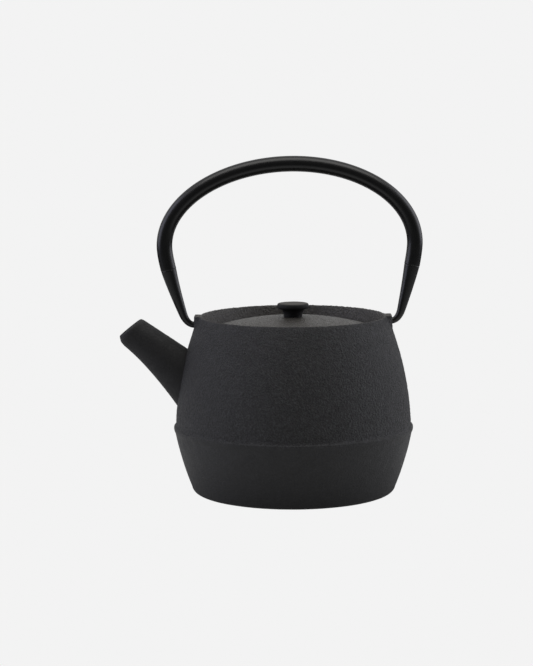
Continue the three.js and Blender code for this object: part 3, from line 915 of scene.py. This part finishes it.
class Nodes:
    """A material's node tree, with short ways to add to it."""

    def __init__(self, name):
        self.material = bpy.data.materials.new(name)
        self.material.use_nodes = True
        self.tree = self.material.node_tree
        self.shader = self.tree.nodes["Principled BSDF"]
        self.place = self.add("ShaderNodeTexCoord").outputs["Object"]

    def add(self, kind, **settings):
        node = self.tree.nodes.new(kind)
        for key, value in settings.items():
            setattr(node, key, value)
        return node

    def link(self, source, target):
        self.tree.links.new(source, target)

    def slanted(self, slant, stretch):
        """Coordinates turned about Y by a slant and stretched, for relief with a grain."""
        node = self.add("ShaderNodeMapping", vector_type="TEXTURE")
        node.inputs["Rotation"].default_value = (0, slant, 0)
        node.inputs["Scale"].default_value = (stretch, 1, 1)
        self.link(self.place, node.inputs["Vector"])
        return node.outputs["Vector"]

    def noise(self, size, detail=2.0, roughness=0.5, distortion=0.0, place=None):
        """Noise with features of about this size in metres, as an output from 0 to 1."""
        node = self.add("ShaderNodeTexNoise")
        node.inputs["Scale"].default_value = 1 / size
        node.inputs["Detail"].default_value = detail
        node.inputs["Roughness"].default_value = roughness
        node.inputs["Distortion"].default_value = distortion
        self.link(place or self.place, node.inputs["Vector"])
        return node.outputs["Fac"]

    def ramp(self, source, *stops):
        """A colour ramp over (position, colour) stops. A colour may be one grey number."""
        node = self.add("ShaderNodeValToRGB")
        ramp = node.color_ramp
        while len(ramp.elements) < len(stops):
            ramp.elements.new(0.5)
        for element, (position, colour) in zip(ramp.elements, stops):
            element.position = position
            element.color = (*colour, 1) if hasattr(colour, "__len__") else (colour,) * 3 + (1,)
        self.link(source, node.inputs["Fac"])
        return node.outputs["Color"]

    def blend(self, share, a, b):
        """Mixes two colours, each an output or three numbers, by a share."""
        node = self.add("ShaderNodeMix", data_type="RGBA")
        for socket, value in ((node.inputs[0], share), (node.inputs[6], a), (node.inputs[7], b)):
            if isinstance(value, bpy.types.NodeSocket):
                self.link(value, socket)
            elif hasattr(value, "__len__"):
                socket.default_value = (*value, 1)
            else:
                socket.default_value = value
        return node.outputs[2]

    def above(self, height, below, soft=1):
        """1 above a height in millimetres, and this much below it, with a soft step between."""
        parts = self.add("ShaderNodeSeparateXYZ")
        share = self.add("ShaderNodeMapRange", interpolation_type="SMOOTHSTEP")
        for name, value in (("From Min", height - soft), ("From Max", height + soft)):
            share.inputs[name].default_value = value * MM
        share.inputs["To Min"].default_value = below
        self.link(self.place, parts.inputs["Vector"])
        self.link(parts.outputs["Z"], share.inputs["Value"])
        return share.outputs["Result"]

    def times(self, a, b):
        node = self.add("ShaderNodeMath", operation="MULTIPLY")
        self.link(a, node.inputs[0])
        self.link(b, node.inputs[1])
        return node.outputs["Value"]

    def bump(self, height, depth, under=None):
        """A bump of this depth in metres, on top of an earlier one."""
        node = self.add("ShaderNodeBump")
        node.inputs["Distance"].default_value = depth
        self.link(height, node.inputs["Height"])
        if under:
            self.link(under, node.inputs["Normal"])
        return node.outputs["Normal"]

    def finish(self, colour=None, roughness=None, normal=None, **values):
        for name, source in (("Base Color", colour), ("Roughness", roughness), ("Normal", normal)):
            if source is not None:
                self.link(source, self.shader.inputs[name])
        for name, value in values.items():
            self.shader.inputs[name.replace("_", " ")].default_value = value
        return self.material


def shade(colour, factor):
    """The colour made paler or darker by a factor."""
    return tuple(factor * c for c in colour)


def iron(name, colours, grain, roughness, wrinkle=0, speckle=1.7, painted_highlight_from=None, shine=0.5):
    """Black cast iron with a baked-on matt finish: faintly mottled and sandy, with paler high spots.
    The grain is the sand's depth in metres, and speckle says how much paler the high spots are.
    A wrinkle is the depth of a leathery skin that it can have on top of the mesh's own relief.
    Above a height given in millimetres, it is painted paler, as a painted highlight where top edges catch
    the light."""
    dark, light = colours
    n = Nodes(name)
    mottle = n.ramp(n.noise(MOTTLE, 4, 0.6), (0.3, 0.0), (0.7, 1.0))
    speck = n.ramp(n.noise(SPECK, 2, 0.6), (0.45, 0.0), (0.8, 1.0))
    colour = n.blend(mottle, dark, light)
    colour = n.blend(n.ramp(speck, (0, 0.0), (1, 0.7)), colour, shade(light, speckle))
    rough = n.ramp(n.noise(GLOSS_PATCH, 3), (0.3, roughness - 0.05), (0.7, roughness + 0.05))
    normal = n.bump(n.noise(SAND, 3, 0.6), grain)
    normal = n.bump(n.noise(DUST, 2, 0.6), grain * 0.35, normal)
    if wrinkle:
        colour, normal = wrinkled(n, colour, normal, colours, wrinkle)
    # Painted highlight: above the given height the colour turns paler, where top edges catch the light.
    if painted_highlight_from:
        colour = n.blend(n.above(painted_highlight_from, 0, 0.3), colour, PAINTED_HIGHLIGHT)
    return n.finish(colour, rough, normal, Specular_IOR_Level=shine)


def wrinkled(n, colour, normal, colours, depth):
    """Adds a fine skin drawn out aslant, with a painted highlight on its raised parts and painted shade in
    its creases, fainter below the ridge.
    """
    dark, light = colours
    skin = n.noise(SKIN, 2, 0.55, 0.6, n.slanted(SKIN_SLANT, SKIN_STRETCH))
    reach = n.above(RIDGE_Z, 0.25)
    painted_tops_highlight = n.times(n.ramp(skin, (0.5, 0.0), (0.67, 0.8)), reach)
    creases = n.times(n.ramp(skin, (0.32, 0.9), (0.47, 0.0)), reach)
    # Painted highlight on the skin's raised parts, and painted shade in its creases.
    colour = n.blend(painted_tops_highlight, colour, shade(light, 3.1))
    colour = n.blend(creases, colour, shade(dark, 0.3))
    return colour, n.bump(n.times(skin, reach), depth, normal)


def enamel():
    """The thin satin enamel that lines the pot."""
    n = Nodes("enamel_lining")
    colour = n.blend(n.noise(0.03, 3), *ENAMEL_BLACK)
    rough = n.ramp(n.noise(0.006, 2), (0.3, 0.28), (0.7, 0.4))
    return n.finish(colour, rough, n.bump(n.noise(0.003, 2), 0.00012))


def paint():
    """Satin black powder coat on the handle's steel, with a faint orange peel."""
    n = Nodes("handle_paint")
    colour = n.blend(n.noise(0.012, 3), *PAINT_BLACK)
    rough = n.ramp(n.noise(0.005, 3), (0.3, 0.27), (0.7, 0.31))
    return n.finish(colour, rough, n.bump(n.noise(0.0012, 2), 0.00003))


def steel(name, roughness):
    """Stainless sheet with fine lines brushed round it."""
    n = Nodes(name)
    squeezed = n.add("ShaderNodeMapping")
    squeezed.inputs["Scale"].default_value = (60, 60, 1400)
    n.link(n.place, squeezed.inputs["Vector"])
    lines = n.noise(0.25, 3, place=squeezed.outputs["Vector"])
    colour = n.blend(lines, *STEEL_GREY)
    rough = n.ramp(lines, (0.3, roughness - 0.05), (0.7, roughness + 0.08))
    return n.finish(colour, rough, n.bump(lines, 0.00004), Metallic=1.0)


# ---------- Assembly ----------
def fit(piece, body, material, node):
    """Gives a piece its material and its body, and hides the CAD node it stands for."""
    if not piece.data.materials:
        piece.data.materials.append(material)
    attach(piece, body)
    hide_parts(node)


def build_object():
    """All the pieces, each with its body and material, and with the CAD node it stands for hidden."""
    # The rim's top edge and the lugs' tops get a painted highlight.
    pot_iron = iron("pot_iron", POT_BLACK, 0.0003, 0.55, wrinkle=0.0009, painted_highlight_from=RIM_Z - 0.2)
    spout_iron = iron("spout_iron", SPOUT_BLACK, 0.00025, 0.68)
    lid_iron = iron("lid_iron", LID_BROWN, 0.0006, 0.3, speckle=4)
    # The knob's flat top gets a painted highlight.
    knob_iron = iron("knob_iron", KNOB_BLACK, 0.00015, 0.6, painted_highlight_from=KNOB_TOP_Z - 0.25, shine=0.25)
    lining = enamel()
    handle_paint = paint()
    bright, sheet = steel("stainless", 0.26), steel("stainless_mesh", 0.32)
    fit(pot(pot_iron, lining, lid_iron), "pot", pot_iron, "pot_body")
    fit(spout(spout_iron, lining), "pot", spout_iron, "spout")
    fit(lid(), "lid", lid_iron, "lid")
    fit(knob(), "lid", knob_iron, "lid_knob")
    fit(screw(), "lid", bright, "knob_screw")
    fit(washer(), "lid", bright, "screw_washer")
    fit(grip(), "handle", handle_paint, "handle_grip")
    fit(leg(-1, "left_leg"), "handle", handle_paint, "handle_leg_left")
    fit(leg(1, "right_leg"), "handle", handle_paint, "handle_leg_right")
    fit(basket_rim(), "infuser", bright, "infuser_rim")
    fit(basket_wall(), "infuser", sheet, "infuser_wall")
    fit(basket_band(), "infuser", bright, "infuser_base_band")
    fit(basket_base(), "infuser", sheet, "infuser_base")


# ---------- Stage, light and camera ----------
PALE = 0.896
BACK_GLOW = 0.55
FRONT_GLOW = 0.07
FLOOR_REACH = 8
# The floor's light at distances from the pot's axis, in metres.
FLOOR_GLOW = ((0.063, 0.19), (0.12, 0.55), (0.25, 0.55), (0.6, 0.07))
# The soft boxes: name, place and size in metres, power in watts, and colour.
SOFT_BOXES = (
    ("left_box", (-1.3, -0.1, 0.5), (0.9, 1.4), 5.7, (0.77, 0.78, 1)),
    ("right_box", (1.25, 0.25, 0.5), (0.9, 1.4), 5.7, (0.88, 0.89, 1)),
    ("top_box", (0, -0.25, 1.3), (1.7, 0.8), 7.6, (1, 0.98, 0.95)),
)
LIGHT_AIM = (0, 0, 0.08)
CAMERA_PLACE = (-0.01722, -1.2952, 0.2708)
CAMERA_PITCH = math.radians(7.374)
CAMERA_ROLL = math.radians(0.35)
CAMERA_LENS = 108.87
SENSOR_WIDTH = 36


def seen_as(tree, glow, strength):
    """Feeds a strength that is pale to the camera, and is this glow to everything else."""
    path = tree.nodes.new("ShaderNodeLightPath")
    choice = tree.nodes.new("ShaderNodeMix")
    tree.links.new(path.outputs["Is Camera Ray"], choice.inputs["Factor"])
    if isinstance(glow, bpy.types.NodeSocket):
        tree.links.new(glow, choice.inputs["A"])
    else:
        choice.inputs["A"].default_value = glow
    choice.inputs["B"].default_value = PALE
    tree.links.new(choice.outputs["Result"], strength)


def floor_glow(tree):
    """The floor's light, which changes with the distance from the pot's axis."""
    place = tree.nodes.new("ShaderNodeTexCoord")
    distance = tree.nodes.new("ShaderNodeVectorMath")
    distance.operation = "LENGTH"
    light = tree.nodes.new("ShaderNodeValToRGB")
    ramp = light.color_ramp
    for metres, share in FLOOR_GLOW:
        ramp.elements.new(metres).color = (share, share, share, 1)
    ramp.elements.remove(ramp.elements[0])
    ramp.elements.remove(ramp.elements[-1])
    tree.links.new(place.outputs["Object"], distance.inputs[0])
    tree.links.new(distance.outputs["Value"], light.inputs["Fac"])
    return light.outputs["Color"]


def floor():
    """A pale floor that melts into the backdrop, and lights the pot from around its foot."""
    r = FLOOR_REACH
    mesh = bpy.data.meshes.new("floor")
    mesh.from_pydata([(-r, -r, 0), (r, -r, 0), (r, r, 0), (-r, r, 0)], [], [(0, 1, 2, 3)])
    made = bpy.data.objects.new("floor", mesh)
    bpy.context.scene.collection.objects.link(made)
    material = bpy.data.materials.new("floor")
    material.use_nodes = True
    tree = material.node_tree
    tree.nodes.clear()
    glow = tree.nodes.new("ShaderNodeEmission")
    out = tree.nodes.new("ShaderNodeOutputMaterial")
    seen_as(tree, floor_glow(tree), glow.inputs["Strength"])
    tree.links.new(glow.outputs["Emission"], out.inputs["Surface"])
    mesh.materials.append(material)


def backdrop():
    """A pale surround that lights the object from behind, and is dim on the camera's side."""
    world = bpy.data.worlds.new("studio")
    bpy.context.scene.world = world
    world.use_nodes = True
    tree = world.node_tree
    way = tree.nodes.new("ShaderNodeTexCoord")
    parts = tree.nodes.new("ShaderNodeSeparateXYZ")
    glow = tree.nodes.new("ShaderNodeMapRange")
    glow.interpolation_type = "SMOOTHSTEP"
    settings = {"From Min": -0.9, "From Max": 0.2, "To Min": FRONT_GLOW, "To Max": BACK_GLOW}
    for name, value in settings.items():
        glow.inputs[name].default_value = value
    tree.links.new(way.outputs["Generated"], parts.inputs["Vector"])
    tree.links.new(parts.outputs["Y"], glow.inputs["Value"])
    seen_as(tree, glow.outputs["Result"], tree.nodes["Background"].inputs["Strength"])
    tree.nodes["Background"].inputs["Color"].default_value = (1, 1, 1, 1)


def soft_box(name, place, size, power, colour):
    """A rectangular light that faces the pot."""
    light = bpy.data.lights.new(name, "AREA")
    light.shape = "RECTANGLE"
    light.size, light.size_y = size
    light.energy = power
    light.color = colour
    lamp = bpy.data.objects.new(name, light)
    lamp.location = place
    way = Vector(LIGHT_AIM) - Vector(place)
    lamp.rotation_euler = way.to_track_quat("-Z", "Y").to_euler()
    bpy.context.scene.collection.objects.link(lamp)


def camera():
    """The camera stands 1.3 m in front, a little above the pot, and looks slightly down."""
    data = bpy.data.cameras.new("camera")
    data.sensor_width = SENSOR_WIDTH
    data.lens = CAMERA_LENS
    made = bpy.data.objects.new("camera", data)
    made.location = CAMERA_PLACE
    made.rotation_mode = "QUATERNION"
    pitch = Matrix.Rotation(math.pi / 2 - CAMERA_PITCH, 3, "X")
    roll = Matrix.Rotation(-CAMERA_ROLL, 3, "Z")
    made.rotation_quaternion = (pitch @ roll).to_quaternion()
    bpy.context.scene.collection.objects.link(made)
    bpy.context.scene.camera = made


camera()
build_object()
floor()
backdrop()
for settings in SOFT_BOXES:
    soft_box(*settings)
bpy.context.scene.view_settings.view_transform = "Standard"
